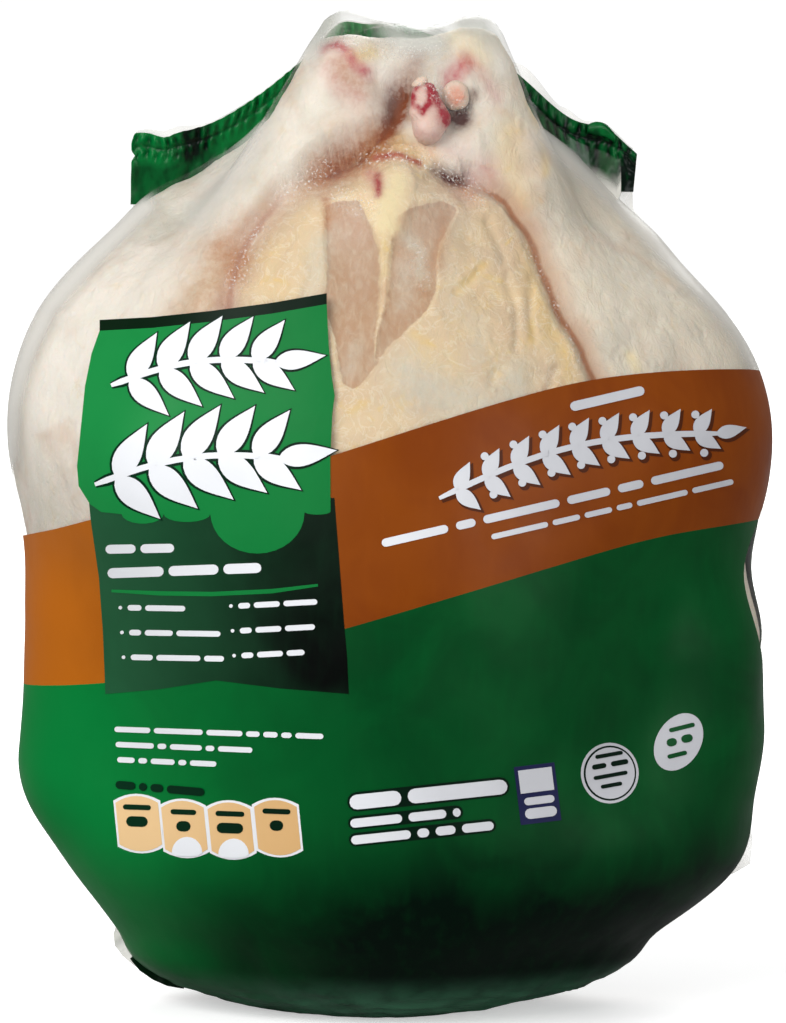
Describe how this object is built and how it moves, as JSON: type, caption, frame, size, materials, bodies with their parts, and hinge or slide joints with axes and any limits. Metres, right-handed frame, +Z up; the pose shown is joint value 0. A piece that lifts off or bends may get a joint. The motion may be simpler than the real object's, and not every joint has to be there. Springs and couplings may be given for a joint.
{
  "type": "whole raw chicken in a shrink bag",
  "caption": "Whole raw bird sealed in a tight printed shrink bag with a clear window, standing on its neck end, with a crimped seal that arches behind the leg ends.",
  "frame": {"origin": "middle of the bounding box in X and Y, on the plane that the pack stands on", "axes": "+Z up from the neck end to the leg ends, the breast and the front of the print face -Y, +X to the right of someone who faces the breast"},
  "size_m": [0.1917, 0.1357, 0.2493],
  "materials": {
    "printed_film": "shrunk film printed green, with an orange band and small pale fields, smooth and glossy with fine shrink ripples",
    "clear_film": "clear shrunk film, glossy, faintly hazy, drawn tight over the skin",
    "skin": "raw chicken skin, cream with pink, grey and yellow patches, fine pores, moist",
    "meat": "raw breast meat and the ends of the leg bones, moist, pinkish"
  },
  "bodies": {
    "root": {"bagged_chicken": "printed_film"}
  },
  "joints": []
}
